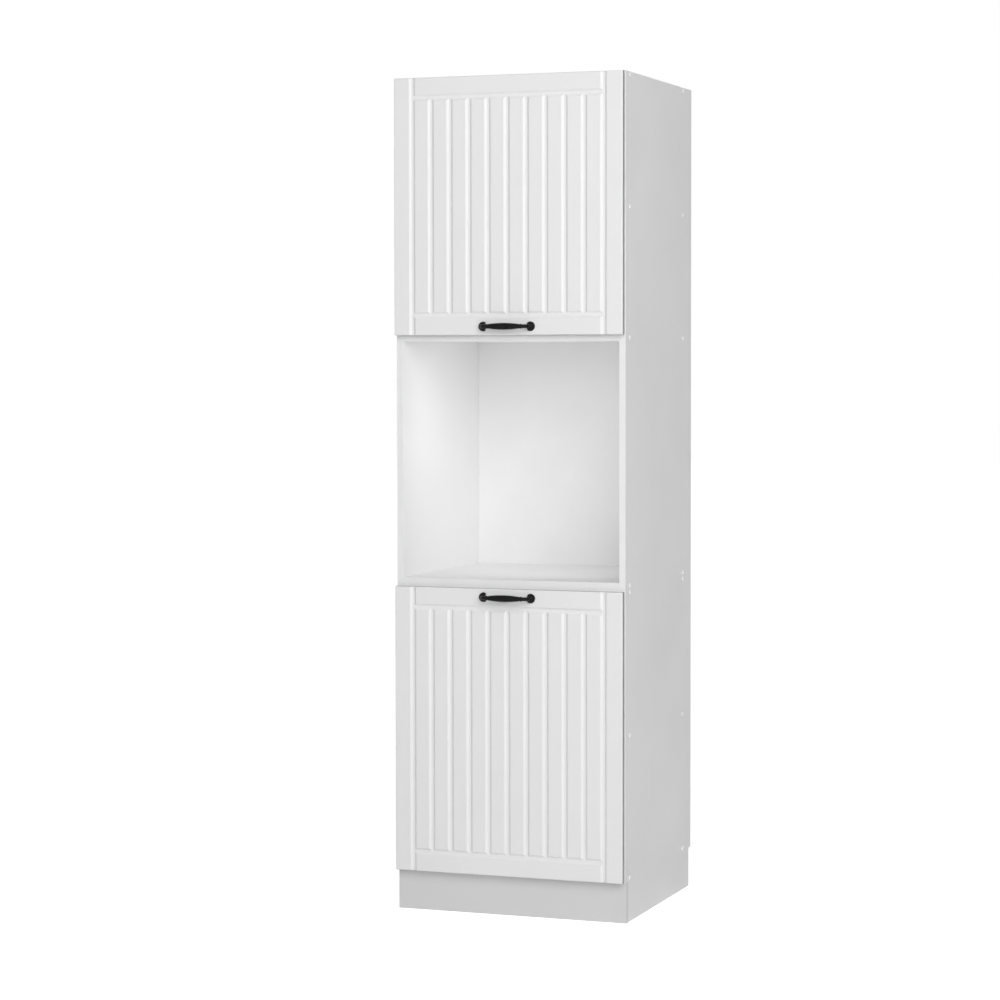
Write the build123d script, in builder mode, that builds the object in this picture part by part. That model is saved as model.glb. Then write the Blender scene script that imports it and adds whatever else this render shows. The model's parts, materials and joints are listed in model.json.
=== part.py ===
from build123d import *
import os

# Oven housing cabinet: two stacked board carcasses, two milled doors, an open niche between them.
# Millimetres, +X to the viewer's right, +Y to the wall, +Z up.
# The origin lies on the floor, under the middle of the whole.

# Carcass
board = 16
cabinet_width = 600
carcass_depth = 560
plinth_height = 100
lower_carcass_height = 720
niche_height = 590
upper_room_height = 622
plinth_setback = 7
skirting_notch = 18
skirting_height = 100
back_thickness = 3.2
back_inset = 28
back_groove_depth = 8
groove_side_play = 0.15
groove_end_play = 0.5

# Doors
door_thickness = 16
door_gap = 4
door_side_reveal = 1.5
upper_door_top_reveal = 1.5
upper_door_lap = 1
lower_door_top_reveal = 5.5
lower_door_bottom_reveal = 1.5
door_edge_round = 3
slat_pitch = 50
slat_count = 10
rail_width = 50
groove_width = 16
groove_floor = 6
groove_depth = 4

# Handles
handle_centres = 128
handle_standoff = 25
grip_middle_radius = 8.4
grip_end_radius = 5
grip_half_length = 44
collar_radius = 6.2
collar_length = 3
neck_radius = 4.8
neck_bend = 14
foot_radius = 12.1
foot_inner_cut = 5.9
foot_shift = 2.5
handle_screw_radius = 2
handle_screw_bite = 7
handle_screw_head_radius = 4.2
handle_screw_head_height = 2.6

# Carcass screws and their caps
front_screw_row = 34
rear_screw_row = 76
panel_screw_radius = 3.5
panel_screw_length = 50
panel_screw_head_radius = 5
panel_screw_tip = 3
panel_screw_socket = 4
panel_screw_socket_depth = 3
screw_play = 0.1
hole_end_play = 0.5
cap_radius = 6
cap_height = 1
cap_round = 0.6
cap_peg_radius = 1.8
cap_peg_length = 2

# Concealed hinges
hinge_from_door_end = 100
hinge_opening = 105
cup_radius = 17.5
cup_wall = 1
cup_depth = 11.5
cup_from_door_edge = 3
cup_bore_play = 0.15
flange_thickness = 1
flange_height = 58
flange_width = 26
flange_round = 6
flange_shift = 4
cup_screw_spacing = 48
cup_screw_shift = 6
pin_from_door_edge = 7.6
pin_depth = 6.8
pin_radius = 1.3
pin_length = 20
pin_seat_play = 0.02
pin_running_play = 0.05
lug_half_width = 3
lug_inner = 6.5
lug_rise = 2.7
arm_thickness = 2.5
arm_width = 16
arm_neck_width = 6
arm_neck_reach = 8.5
arm_eye_radius = 2.7
arm_throat = 5
arm_dip = 1.7
arm_straight_end = 12
arm_crank_end = 20
arm_end = 60
arm_bend = 2.6
arm_slot_length = 4
plate_setback = 37
plate_wing_thickness = 3
plate_wing_depth = 16
plate_height = 48
plate_saddle_height = 9.25
plate_saddle_start = 22
plate_saddle_end = 62
plate_screw_spacing = 32
arm_side_screw = 27
arm_fixing_screw = 50
arm_screw_radius = 2.5
arm_screw_length = 8
arm_screw_head_radius = 4
arm_screw_head_height = 2
spring_outer_radius = 2.3
spring_inner_radius = 1.45
spring_length = 2.8
spring_eye_gap = 0.3
spring_leg_reach = 6.5
spring_leg_thickness = 1.2

# Small screws, brackets and bumpers
wood_screw_radius = 1.75
wood_screw_length = 13
wood_screw_head_radius = 3.5
wood_screw_head_height = 1.2
connector_radius = 2
connector_length = 28
connector_head_radius = 4
connector_head_height = 2
connector_inset_x = 60
connector_inset_y = 80
plinth_bracket_leg = 30
plinth_bracket_width = 20
plinth_bracket_thickness = 2
plinth_bracket_reach = 20
wall_bracket_leg = 40
wall_bracket_width = 30
wall_bracket_thickness = 2.5
wall_bracket_reach = 26
wall_bracket_pitch = 14
wall_fixing_spacing = 400
wall_fixing_drop = 25
wall_fixing_radius = 3.5
bumper_radius = 4
bumper_height = 3.7
bumper_round = 1
bumper_from_door_end = 30

# Levels and planes that follow from the sizes
half_width = cabinet_width / 2
inner_half = half_width - board
handle_projection = handle_standoff + grip_middle_radius
overall_depth = carcass_depth + door_gap + door_thickness + handle_projection
wall_y = overall_depth / 2
carcass_front = wall_y - carcass_depth
door_rear = carcass_front - door_gap
door_front = door_rear - door_thickness
back_front = wall_y - back_inset
back_rear = back_front + back_thickness
back_groove = (back_front - groove_side_play, back_rear + groove_side_play)
plinth_rear = carcass_front + plinth_setback + board
front_row_y = carcass_front + front_screw_row
rear_row_y = wall_y - rear_screw_row
bottom_panel_top = plinth_height + board
seam_level = plinth_height + lower_carcass_height
lower_room_ceiling = seam_level - board
niche_floor = seam_level + board
niche_ceiling = niche_floor + niche_height
upper_room_floor = niche_ceiling + board
upper_room_ceiling = upper_room_floor + upper_room_height
cabinet_height = upper_room_ceiling + board
lower_shelf_level = (bottom_panel_top + lower_room_ceiling - board) / 2
upper_shelf_level = (upper_room_floor + upper_room_ceiling - board) / 2
lower_panel_levels = [plinth_height, lower_shelf_level, lower_room_ceiling]
upper_panel_levels = [seam_level, niche_ceiling, upper_shelf_level, upper_room_ceiling]

door_left = -half_width + door_side_reveal
lower_door_bottom = plinth_height + lower_door_bottom_reveal
lower_door_top = seam_level - lower_door_top_reveal
upper_door_bottom = upper_room_floor - upper_door_lap
upper_door_top = cabinet_height - upper_door_top_reveal
handle_from_door_end = (rail_width - groove_width / 2) / 2
upper_handle_z = upper_door_bottom + handle_from_door_end
lower_handle_z = lower_door_top - handle_from_door_end
upper_hinges = [upper_door_bottom + hinge_from_door_end, upper_door_top - hinge_from_door_end]
lower_hinges = [lower_door_bottom + hinge_from_door_end, lower_door_top - hinge_from_door_end]
pin_x = door_left + pin_from_door_edge
pin_y = door_rear - pin_depth
cup_x = door_left + cup_from_door_edge + cup_radius
cup_floor = door_rear - cup_depth + cup_wall
wood_pilot = wood_screw_radius + screw_play

os.makedirs("parts", exist_ok=True)


def keep(piece, name):
    """Labels a finished piece and writes its file."""
    piece.label = name
    export_step(piece, f"parts/{name}.step")


def box_between(x, y, z, mode=Mode.ADD):
    """A block from its two limits along each axis, given in any order."""
    with Locations(((x[0] + x[1]) / 2, (y[0] + y[1]) / 2, (z[0] + z[1]) / 2)):
        Box(abs(x[1] - x[0]), abs(y[1] - y[0]), abs(z[1] - z[0]), mode=mode)


def spots(points, outward):
    """Planes at the points, each facing outward."""
    return [Plane(origin=point, z_dir=outward) for point in points]


def bore(points, outward, radius, depth):
    """Blind holes at the points, each drilled against the outward direction."""
    with Locations(*spots(points, outward)):
        Hole(radius, depth)


def copies(piece, planes):
    """One group of separate copies of a piece, one on each plane."""
    with BuildPart() as group:
        with Locations(*planes):
            add(piece)
    return group.part


# Places of the screws, shared by the pieces that they join
def panel_screw_points(x, levels):
    """Carcass screws on one face of a side, in both rows."""
    return [(x, y, level + board / 2) for level in levels for y in (front_row_y, rear_row_y)]


def plate_screw_points(x, heights):
    """Screws of the hinge plates, above and below each hinge."""
    offsets = (-plate_screw_spacing / 2, plate_screw_spacing / 2)
    return [(x, carcass_front + plate_setback, z + offset) for z in heights for offset in offsets]


def cup_screw_points(y, heights):
    """Screws of the hinge cups, above and below each cup."""
    offsets = (-cup_screw_spacing / 2, cup_screw_spacing / 2)
    return [(cup_x + cup_screw_shift, y, z + offset) for z in heights for offset in offsets]


def handle_screw_points(y, z):
    """The two screws of a handle."""
    return [(side * handle_centres / 2, y, z) for side in (-1, 1)]


def connector_points(z):
    """Screws that join the two carcasses."""
    rows = (carcass_front + connector_inset_y, back_front - connector_inset_y)
    return [(side * (inner_half - connector_inset_x), y, z) for side in (-1, 1) for y in rows]


def plinth_side_point(side, x):
    """Screw of a plinth bracket into a side."""
    return (side * x, plinth_rear + plinth_bracket_reach, plinth_height / 2)


def plinth_board_points(y):
    """Screws of the plinth brackets into the plinth board."""
    return [(side * (inner_half - plinth_bracket_reach), y, plinth_height / 2) for side in (-1, 1)]


def wall_fixing_points(y):
    """Holes for the two wall screws."""
    z = upper_room_ceiling - wall_fixing_drop
    return [(side * wall_fixing_spacing / 2, y, z) for side in (-1, 1)]


def wall_bracket_points(z):
    """Screws of the wall brackets into the top panel."""
    offsets = (-wall_bracket_pitch / 2, wall_bracket_pitch / 2)
    y = back_front - wall_bracket_reach
    return [(side * wall_fixing_spacing / 2 + offset, y, z) for side in (-1, 1) for offset in offsets]


# Boards of the carcass
def side_panel(side, bottom, top, levels, hinge_heights):
    """An upright side with its back groove and screw holes."""
    outer = side * half_width
    inner = side * inner_half
    with BuildPart() as panel:
        box_between((outer, inner), (carcass_front, wall_y), (bottom, top))
        box_between((inner, inner + side * back_groove_depth), back_groove, (bottom, top), Mode.SUBTRACT)
        with Locations(*spots(panel_screw_points(outer, levels), (side, 0, 0))):
            CounterSinkHole(
                panel_screw_radius + screw_play,
                panel_screw_head_radius + screw_play,
                board,
                counter_sink_angle=90,
            )
        if side < 0:
            depth = wood_screw_length - plate_wing_thickness + hole_end_play
            bore(plate_screw_points(inner, hinge_heights), (-side, 0, 0), wood_pilot, depth)
    return panel.part


def lower_side_panel(side):
    """A lower side, notched for the plinth in front and for the wall skirting behind."""
    outer = side * half_width
    inner = side * inner_half
    with BuildPart() as panel:
        add(side_panel(side, 0, seam_level, lower_panel_levels, lower_hinges))
        box_between((outer, inner), (carcass_front, plinth_rear), (0, plinth_height), Mode.SUBTRACT)
        box_between((outer, inner), (wall_y - skirting_notch, wall_y), (0, skirting_height), Mode.SUBTRACT)
        depth = wood_screw_length - plinth_bracket_thickness + hole_end_play
        bore([plinth_side_point(side, inner_half)], (-side, 0, 0), wood_pilot, depth)
    return panel.part


def cross_panel(level, rear_y, grooves=()):
    """A fixed panel between the sides, bored at both ends for the carcass screws."""
    with BuildPart() as panel:
        box_between((-inner_half, inner_half), (carcass_front, rear_y), (level, level + board))
        for groove in grooves:
            box_between((-inner_half, inner_half), back_groove, groove, Mode.SUBTRACT)
        for side in (-1, 1):
            ends = panel_screw_points(side * inner_half, [level])
            depth = panel_screw_length - board + hole_end_play
            bore(ends, (side, 0, 0), panel_screw_radius + screw_play, depth)
    return panel.part


def groove_above(level):
    """Height limits of a back groove in the upper face of a panel."""
    return (level + board - back_groove_depth, level + board)


def groove_below(level):
    """Height limits of a back groove in the lower face of a panel."""
    return (level, level + back_groove_depth)


def back_board(low_panel_top, high_panel_bottom):
    """A thin back board that reaches into the grooves on all four sides."""
    reach = back_groove_depth - groove_end_play
    width = inner_half + reach
    height = (low_panel_top - reach, high_panel_bottom + reach)
    with BuildPart() as panel:
        box_between((-width, width), (back_front, back_rear), height)
    return panel.part


for side_name, side in (("left", -1), ("right", 1)):
    keep(lower_side_panel(side), f"lower_side_{side_name}")
    upper_side = side_panel(side, seam_level, cabinet_height, upper_panel_levels, upper_hinges)
    keep(upper_side, f"upper_side_{side_name}")

keep(cross_panel(plinth_height, wall_y, [groove_above(plinth_height)]), "lower_bottom_panel")
keep(cross_panel(lower_shelf_level, back_front), "lower_shelf")
keep(cross_panel(niche_ceiling, back_front), "niche_top_panel")
keep(cross_panel(upper_shelf_level, back_front), "upper_shelf")

with BuildPart() as lower_top_panel:
    add(cross_panel(lower_room_ceiling, wall_y, [groove_below(lower_room_ceiling)]))
    bore(connector_points(seam_level), (0, 0, 1), connector_radius + screw_play, board)
keep(lower_top_panel.part, "lower_top_panel")

with BuildPart() as oven_shelf:
    add(cross_panel(seam_level, wall_y, [groove_above(seam_level)]))
    connector_bite = connector_length - board + hole_end_play
    bore(connector_points(seam_level), (0, 0, -1), connector_radius + screw_play, connector_bite)
keep(oven_shelf.part, "oven_shelf")

with BuildPart() as top_panel:
    add(cross_panel(upper_room_ceiling, wall_y, [groove_below(upper_room_ceiling)]))
    bracket_bite = wood_screw_length - wall_bracket_thickness + hole_end_play
    bore(wall_bracket_points(upper_room_ceiling), (0, 0, -1), wood_pilot, bracket_bite)
keep(top_panel.part, "top_panel")

keep(back_board(bottom_panel_top, lower_room_ceiling), "lower_back_panel")

with BuildPart() as upper_back_panel:
    add(back_board(niche_floor, upper_room_ceiling))
    bore(wall_fixing_points(back_front), (0, -1, 0), wall_fixing_radius, back_thickness)
keep(upper_back_panel.part, "upper_back_panel")

with BuildPart() as plinth_board:
    box_between((-half_width, half_width), (plinth_rear - board, plinth_rear), (0, plinth_height))
    plinth_bite = wood_screw_length - plinth_bracket_thickness + hole_end_play
    bore(plinth_board_points(plinth_rear), (0, 1, 0), wood_pilot, plinth_bite)
keep(plinth_board.part, "plinth_board")


# Doors
with BuildSketch() as groove_section:
    with BuildLine():
        Polyline(
            (-groove_width / 2, 0),
            (-groove_floor / 2, groove_depth),
            (groove_floor / 2, groove_depth),
            (groove_width / 2, 0),
            close=True,
        )
    make_face()


def door_panel(bottom, top, handle_z, hinge_heights):
    """A milled door with rounded front edges, hinge bores and handle holes."""
    outer_groove = slat_pitch * slat_count / 2
    rails = (bottom + rail_width, top - rail_width)
    with BuildPart() as door:
        box_between((door_left, -door_left), (door_front, door_rear), (bottom, top))
        fillet(door.faces().sort_by(Axis.Y)[0].edges(), door_edge_round)
        for index in range(slat_count + 1):
            x = index * slat_pitch - outer_groove
            start, end = (bottom, top) if index in (0, slat_count) else rails
            with BuildSketch(Plane(origin=(x, door_front, start), x_dir=(1, 0, 0), z_dir=(0, 0, 1))):
                add(groove_section.sketch)
            extrude(amount=end - start, mode=Mode.SUBTRACT)
        for z in rails:
            with BuildSketch(Plane(origin=(outer_groove, door_front, z), x_dir=(0, 0, 1), z_dir=(-1, 0, 0))):
                add(groove_section.sketch)
            extrude(amount=2 * outer_groove, mode=Mode.SUBTRACT)
        cups = [(cup_x, door_rear, z) for z in hinge_heights]
        bore(cups, (0, 1, 0), cup_radius + cup_bore_play, cup_depth + hole_end_play)
        cup_screw_bite = wood_screw_length - flange_thickness + hole_end_play
        bore(cup_screw_points(door_rear, hinge_heights), (0, 1, 0), wood_pilot, cup_screw_bite)
        handle_hole = handle_screw_radius + screw_play
        bore(handle_screw_points(door_rear, handle_z), (0, 1, 0), handle_hole, door_thickness)
    return door.part


keep(door_panel(upper_door_bottom, upper_door_top, upper_handle_z, upper_hinges), "upper_door")
keep(door_panel(lower_door_bottom, lower_door_top, lower_handle_z, lower_hinges), "lower_door")


# Handles
def bow_handle(z):
    """A bow handle: half-ball feet, bent necks, and a barrel grip between two collars."""
    plan = Plane(origin=(0, door_front, z), x_dir=(1, 0, 0), z_dir=(0, 0, -1))
    grip_axis = Axis((0, door_front - handle_standoff, z), (1, 0, 0))
    foot_x = handle_centres / 2 - foot_shift
    collar_x = grip_half_length + collar_length / 2
    neck_x = collar_x + neck_bend
    with BuildPart() as handle:
        with Locations((-foot_x, door_front, z), (foot_x, door_front, z)):
            Sphere(foot_radius)
        reach = foot_x + 2 * foot_radius
        height = (z - 2 * foot_radius, z + 2 * foot_radius)
        box_between((-reach, reach), (door_front, door_front + 2 * foot_radius), height, Mode.SUBTRACT)
        inner_cut = foot_x - foot_inner_cut
        box_between((-inner_cut, inner_cut), (door_front - 2 * foot_radius, door_front), height, Mode.SUBTRACT)
        with BuildSketch(plan):
            with BuildLine():
                start = (-grip_half_length, handle_standoff + grip_end_radius)
                middle = (0, handle_standoff + grip_middle_radius)
                end = (grip_half_length, handle_standoff + grip_end_radius)
                ThreePointArc(start, middle, end)
                Polyline(end, (end[0], handle_standoff), (start[0], handle_standoff), start)
            make_face()
            with Locations((-collar_x, handle_standoff), (collar_x, handle_standoff)):
                RectangleRounded(collar_length, 2 * collar_radius, collar_length / 3)
            with Locations((0, handle_standoff - collar_radius)):
                Rectangle(2 * reach, 2 * collar_radius, mode=Mode.SUBTRACT)
        revolve(axis=grip_axis)
        for side in (-1, 1):
            with BuildLine(plan) as route:
                bend = ThreePointArc(
                    (side * collar_x, handle_standoff),
                    (
                        side * (collar_x + neck_bend * 0.5**0.5),
                        handle_standoff - neck_bend * (1 - 0.5**0.5),
                    ),
                    (side * neck_x, handle_standoff - neck_bend),
                )
                Line(bend @ 1, (side * neck_x, foot_radius / 2))
            with BuildSketch(Plane(origin=route.line @ 0, z_dir=route.line % 0)):
                Circle(neck_radius)
            sweep(path=route.line)
        handle_hole = handle_screw_radius + screw_play
        bore(handle_screw_points(door_front, z), (0, 1, 0), handle_hole, handle_screw_bite + hole_end_play)
    return handle.part


keep(bow_handle(upper_handle_z), "upper_handle")
keep(bow_handle(lower_handle_z), "lower_handle")


# Screws and caps, each made once along its own axis and copied to its places
def pan_screw(radius, length, head_radius, head_height):
    """A screw with a low round head, its shank below the origin."""
    with BuildPart() as screw:
        with BuildSketch(Plane.XZ):
            with BuildLine():
                Polyline((0, 0), (0, -length), (radius / 2, -length), (radius, radius - length), (radius, 0))
                Line((radius, 0), (head_radius, 0))
                crown = (head_radius * 0.75, head_height * 0.75)
                Polyline((head_radius, 0), crown, (head_radius / 3, head_height), (0, head_height), (0, 0))
            make_face()
        revolve(axis=Axis.Z)
    return screw.part


with BuildPart() as panel_screw:
    with BuildSketch(Plane.XZ):
        with BuildLine():
            Polyline(
                (0, 0),
                (panel_screw_head_radius, 0),
                (panel_screw_radius, panel_screw_radius - panel_screw_head_radius),
                (panel_screw_radius, panel_screw_tip - panel_screw_length),
                (panel_screw_radius / 2, -panel_screw_length),
                (0, -panel_screw_length),
                close=True,
            )
        make_face()
    revolve(axis=Axis.Z)
    with BuildSketch():
        RegularPolygon(panel_screw_socket / 2, 6, major_radius=False)
    extrude(amount=-panel_screw_socket_depth, mode=Mode.SUBTRACT)

with BuildPart() as screw_cap:
    with BuildSketch():
        Circle(cap_radius)
    extrude(amount=cap_height)
    fillet(screw_cap.faces().sort_by(Axis.Z)[-1].edges(), cap_round)
    with BuildSketch():
        Circle(cap_peg_radius)
    extrude(amount=-cap_peg_length)

for room, levels in (("lower", lower_panel_levels), ("upper", upper_panel_levels)):
    places = []
    for side in (-1, 1):
        places += spots(panel_screw_points(side * half_width, levels), (side, 0, 0))
    keep(copies(panel_screw.part, places), f"{room}_panel_screws")
    keep(copies(screw_cap.part, places), f"{room}_screw_caps")

wood_screw = pan_screw(wood_screw_radius, wood_screw_length, wood_screw_head_radius, wood_screw_head_height)
handle_screw = pan_screw(
    handle_screw_radius,
    door_thickness + handle_screw_bite,
    handle_screw_head_radius,
    handle_screw_head_height,
)
arm_screw = pan_screw(arm_screw_radius, arm_screw_length, arm_screw_head_radius, arm_screw_head_height)
connector = pan_screw(connector_radius, connector_length, connector_head_radius, connector_head_height)

for room, z in (("upper", upper_handle_z), ("lower", lower_handle_z)):
    keep(copies(handle_screw, spots(handle_screw_points(door_rear, z), (0, 1, 0))), f"{room}_handle_screws")

keep(copies(connector, spots(connector_points(lower_room_ceiling), (0, 0, -1))), "carcass_connectors")


# Concealed hinges: a cup let into the door, a pin across it and a cranked arm on a mounting plate
def hinge_cup(z):
    """A round cup with a screw flange, and two lugs inside that hold the pin."""
    rear = Plane(origin=(cup_x, door_rear, z), x_dir=(1, 0, 0), z_dir=(0, 1, 0))
    with BuildPart() as cup:
        with BuildSketch(rear):
            Circle(cup_radius)
        extrude(amount=-cup_depth)
        with BuildSketch(rear):
            with Locations((flange_shift, 0)):
                RectangleRounded(flange_width, flange_height, flange_round)
            Circle(cup_radius)
        extrude(amount=flange_thickness)
        with BuildSketch(rear.offset(flange_thickness)):
            Circle(cup_radius - cup_wall)
        extrude(amount=cup_wall - cup_depth - flange_thickness, mode=Mode.SUBTRACT)
        with BuildSketch(rear.offset(cup_wall - cup_depth)):
            with Locations((pin_x - cup_x, 0)):
                Rectangle(2 * lug_half_width, 2 * cup_radius)
                Rectangle(2 * lug_half_width, 2 * lug_inner, mode=Mode.SUBTRACT)
            Circle(cup_radius - cup_wall / 2, mode=Mode.INTERSECT)
        extrude(amount=pin_y + lug_rise - cup_floor)
        with Locations((pin_x, pin_y, z)):
            Cylinder(pin_radius + pin_seat_play, pin_length, mode=Mode.SUBTRACT)
        bore(cup_screw_points(door_rear + flange_thickness, [z]), (0, 1, 0), wood_pilot, flange_thickness)
    return cup.part


def hinge_arm(z):
    """A cranked steel arm: an eye round the pin, a narrow neck, and a flat that lies on the plate."""
    flat = plate_saddle_height + arm_thickness / 2 - inner_half
    route = [
        (pin_x, pin_y),
        (arm_throat - inner_half, pin_y - arm_dip),
        (arm_throat - inner_half, carcass_front + arm_straight_end),
        (flat, carcass_front + arm_crank_end),
        (flat, carcass_front + arm_end),
    ]
    with BuildPart() as arm:
        with BuildSketch(Plane.XY.offset(z - arm_width / 2)):
            with BuildLine():
                FilletPolyline(*route, radius=arm_bend)
            trace(line_width=arm_thickness)
        extrude(amount=arm_width)
        for side in (-1, 1):
            sides = (z + side * arm_neck_width / 2, z + side * arm_width / 2)
            neck = (pin_x - arm_eye_radius, pin_x + arm_neck_reach)
            box_between(neck, (pin_y - arm_eye_radius, carcass_front), sides, Mode.SUBTRACT)
        with Locations((pin_x, pin_y, z)):
            Cylinder(arm_eye_radius, arm_neck_width)
            Cylinder(pin_radius + pin_running_play, arm_neck_width, mode=Mode.SUBTRACT)
        top = flat + arm_thickness / 2
        with Locations(Plane(origin=(top, carcass_front + arm_side_screw, z), z_dir=(1, 0, 0))):
            Hole(arm_screw_radius + screw_play, arm_thickness)
        slot = Plane(origin=(top, carcass_front + arm_fixing_screw, z), x_dir=(0, 1, 0), z_dir=(1, 0, 0))
        with BuildSketch(slot):
            SlotCenterToCenter(arm_slot_length, 2 * (arm_screw_radius + screw_play))
        extrude(amount=-arm_thickness, mode=Mode.SUBTRACT)
    return arm.part


def arm_screw_points(x, heights):
    """The side and the fixing screw of each hinge arm."""
    return [(x, carcass_front + y, z) for z in heights for y in (arm_side_screw, arm_fixing_screw)]


def hinge_plate(z):
    """A mounting plate: two screwed wings and a raised saddle for the arm."""
    face = Plane(origin=(-inner_half, carcass_front, z), x_dir=(0, 1, 0), z_dir=(1, 0, 0))
    saddle_length = plate_saddle_end - plate_saddle_start
    with BuildPart() as plate:
        with BuildSketch(face):
            with Locations((plate_setback, 0)):
                RectangleRounded(plate_wing_depth, plate_height, plate_wing_depth / 4)
            with Locations((plate_saddle_start + saddle_length / 2, 0)):
                RectangleRounded(saddle_length, arm_width, arm_width / 8)
        extrude(amount=plate_wing_thickness)
        with BuildSketch(face.offset(plate_wing_thickness)):
            with Locations((plate_saddle_start + saddle_length / 2, 0)):
                RectangleRounded(saddle_length, arm_width, arm_width / 8)
        extrude(amount=plate_saddle_height - plate_wing_thickness)
        bore(plate_screw_points(plate_wing_thickness - inner_half, [z]), (1, 0, 0), wood_pilot, plate_wing_thickness)
        arm_bite = arm_screw_length - arm_thickness + hole_end_play
        bore(
            arm_screw_points(plate_saddle_height - inner_half, [z]),
            (1, 0, 0),
            arm_screw_radius + screw_play,
            arm_bite,
        )
    return plate.part


def closing_spring():
    """A tight coil drawn as a sleeve along +Z, with a leg that bears on the cup floor."""
    with BuildPart() as spring:
        with BuildSketch():
            Circle(spring_outer_radius)
            Circle(spring_inner_radius, mode=Mode.SUBTRACT)
        extrude(amount=spring_length)
        leg_floor = cup_floor - pin_y
        leg = (leg_floor, leg_floor + spring_leg_thickness)
        box_between((0, spring_leg_reach), leg, (0, spring_length))
    return spring.part


with BuildPart() as hinge_pin:
    Cylinder(pin_radius, pin_length)

spring_start = arm_neck_width / 2 + spring_eye_gap
arm_face = plate_saddle_height + arm_thickness - inner_half
for room, heights in (("upper", upper_hinges), ("lower", lower_hinges)):
    for place, z in zip(("bottom", "top"), heights):
        keep(hinge_cup(z), f"{room}_hinge_cup_{place}")
        keep(hinge_arm(z), f"{room}_hinge_arm_{place}")
        keep(hinge_plate(z), f"{room}_hinge_plate_{place}")
    pins = [Plane(origin=(pin_x, pin_y, z)) for z in heights]
    keep(copies(hinge_pin.part, pins), f"{room}_hinge_pins")
    springs = []
    for z in heights:
        springs.append(Plane(origin=(pin_x, pin_y, z + spring_start)))
        springs.append(Plane(origin=(pin_x, pin_y, z - spring_start - spring_length)))
    keep(copies(closing_spring(), springs), f"{room}_hinge_springs")
    cup_screws = spots(cup_screw_points(door_rear + flange_thickness, heights), (0, 1, 0))
    keep(copies(wood_screw, cup_screws), f"{room}_cup_screws")
    plate_screws = spots(plate_screw_points(plate_wing_thickness - inner_half, heights), (1, 0, 0))
    keep(copies(wood_screw, plate_screws), f"{room}_plate_screws")
    keep(copies(arm_screw, spots(arm_screw_points(arm_face, heights), (1, 0, 0))), f"{room}_arm_screws")


# Brackets
def angle_bracket(corner, along, leg, width, thickness):
    """An L bracket: one leg along the plane's x axis, one along its y axis, from the corner."""
    with BuildPart() as bracket:
        with BuildSketch(Plane(origin=corner, x_dir=along[0], z_dir=along[1])):
            with BuildLine():
                Polyline(
                    (0, 0),
                    (leg, 0),
                    (leg, thickness),
                    (thickness, thickness),
                    (thickness, leg),
                    (0, leg),
                    close=True,
                )
            make_face()
        extrude(amount=width / 2, both=True)
    return bracket.part


with BuildPart() as plinth_brackets:
    for side in (-1, 1):
        corner = (side * inner_half, plinth_rear, plinth_height / 2)
        along = ((-side, 0, 0), (0, 0, -side))
        add(angle_bracket(corner, along, plinth_bracket_leg, plinth_bracket_width, plinth_bracket_thickness))
    bore(plinth_board_points(plinth_rear + plinth_bracket_thickness), (0, 1, 0), wood_pilot, plinth_bracket_thickness)
    for side in (-1, 1):
        point = plinth_side_point(side, inner_half - plinth_bracket_thickness)
        bore([point], (-side, 0, 0), wood_pilot, plinth_bracket_thickness)
keep(plinth_brackets.part, "plinth_brackets")

with BuildPart() as plinth_screws:
    with Locations(*spots(plinth_board_points(plinth_rear + plinth_bracket_thickness), (0, 1, 0))):
        add(wood_screw)
    for side in (-1, 1):
        point = plinth_side_point(side, inner_half - plinth_bracket_thickness)
        with Locations(*spots([point], (-side, 0, 0))):
            add(wood_screw)
keep(plinth_screws.part, "plinth_bracket_screws")

with BuildPart() as wall_brackets:
    for side in (-1, 1):
        corner = (side * wall_fixing_spacing / 2, back_front, upper_room_ceiling)
        along = ((0, -1, 0), (1, 0, 0))
        add(angle_bracket(corner, along, wall_bracket_leg, wall_bracket_width, wall_bracket_thickness))
    under = upper_room_ceiling - wall_bracket_thickness
    bore(wall_bracket_points(under), (0, 0, -1), wood_pilot, wall_bracket_thickness)
    front = back_front - wall_bracket_thickness
    bore(wall_fixing_points(front), (0, -1, 0), wall_fixing_radius, wall_bracket_thickness)
keep(wall_brackets.part, "wall_brackets")
keep(copies(wood_screw, spots(wall_bracket_points(under), (0, 0, -1))), "wall_bracket_screws")

# Bumpers on the free side of each door
with BuildPart() as bumper:
    Cylinder(bumper_radius, bumper_height, align=(Align.CENTER, Align.CENTER, Align.MIN))
    fillet(bumper.faces().sort_by(Axis.Z)[-1].edges(), bumper_round)

door_ends = {"upper": (upper_door_bottom, upper_door_top), "lower": (lower_door_bottom, lower_door_top)}
for room, (bottom, top) in door_ends.items():
    heights = (bottom + bumper_from_door_end, top - bumper_from_door_end)
    corners = [(half_width - board / 2, door_rear, z) for z in heights]
    keep(copies(bumper.part, spots(corners, (0, 1, 0))), f"{room}_door_bumpers")
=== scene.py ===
"""Oven housing cabinet, dressed: eased boards, milled doors, cast bow handles and fittings."""

import json
import math

import bmesh
import bpy
from mathutils import Matrix, Vector

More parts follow.
